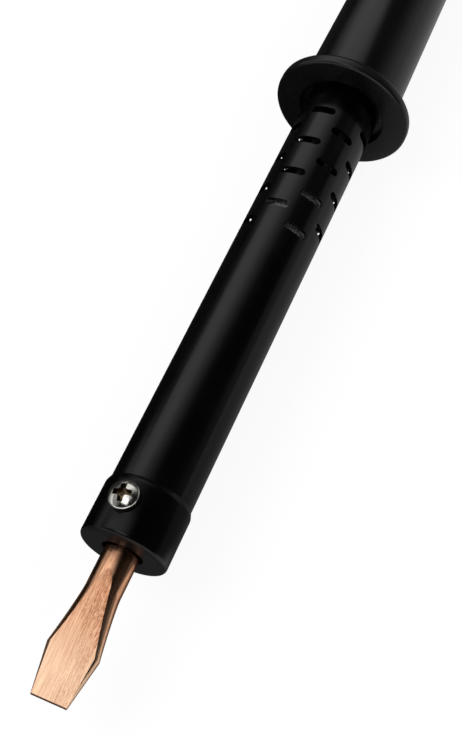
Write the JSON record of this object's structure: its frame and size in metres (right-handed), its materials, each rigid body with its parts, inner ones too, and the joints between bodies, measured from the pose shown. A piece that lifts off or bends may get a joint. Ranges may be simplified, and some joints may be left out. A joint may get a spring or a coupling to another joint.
{
  "type": "electric soldering iron",
  "caption": "Electric soldering iron: slotted black barrel, round hand guard, tapered handle, and a forged copper chisel bit clamped in the collar by a set screw.",
  "frame": {"origin": "centre of the cord inlet's mouth, on the end cap's rear face", "axes": "+X along the iron's axis from the bit to the handle and out of the cord inlet, +Z square to the bit's flat face, +Y completes the right-handed frame"},
  "size_m": [0.2863, 0.0356, 0.0356],
  "materials": {
    "handle_black": "satin black moulding",
    "guard_black": "satin black moulding",
    "black_paint": "heat-proof satin black",
    "copper": "filed copper",
    "nickel": "bright nickel plate",
    "zinc_steel": "zinc plate",
    "bare_steel": "turned",
    "casing_sheet": "dull sheet",
    "mica": "wrapped mica sheet",
    "resistance_wire": "oxidised",
    "steatite": "unglazed",
    "lead_nickel": "drawn wire",
    "terminal_brass": "turned"
  },
  "bodies": {
    "iron": {"handle_grip": "handle_black", "hand_guard": "guard_black", "handle_screws": "zinc_steel", "end_cap": "handle_black", "end_cap_screw": "zinc_steel", "cord_clamp": "zinc_steel", "cord_clamp_screws": "zinc_steel", "barrel_tube": "black_paint", "front_collar": "black_paint", "barrel_bush": "bare_steel", "heater_core_tube": "bare_steel", "inner_mica": "mica", "heating_winding": "resistance_wire", "outer_mica": "mica", "heater_casing": "casing_sheet", "front_ceramic_bush": "steatite", "rear_ceramic_bush": "steatite", "centring_ring": "bare_steel", "live_lead": "lead_nickel", "neutral_lead": "lead_nickel", "ceramic_beads": "steatite", "earth_tag": "terminal_brass", "earth_screw": "zinc_steel", "earth_lead": "lead_nickel", "terminal_block": "steatite", "terminal_tubes": "terminal_brass", "terminal_screws": "zinc_steel"},
    "bit": {"soldering_bit": "copper"},
    "clamp_screw": {"set_screw": "nickel"}
  },
  "joints": [
    {"name": "bit_slide", "type": "slide", "parent": "iron", "child": "bit", "axis": [-1, 0, 0], "range_m": [0, 0.094]},
    {"name": "set_screw_turn", "type": "hinge", "parent": "iron", "child": "clamp_screw", "pos_m": [-0.2441, 0, 0], "axis": [0, 0.2588, 0.9659], "range_deg": [0, 720]}
  ]
}
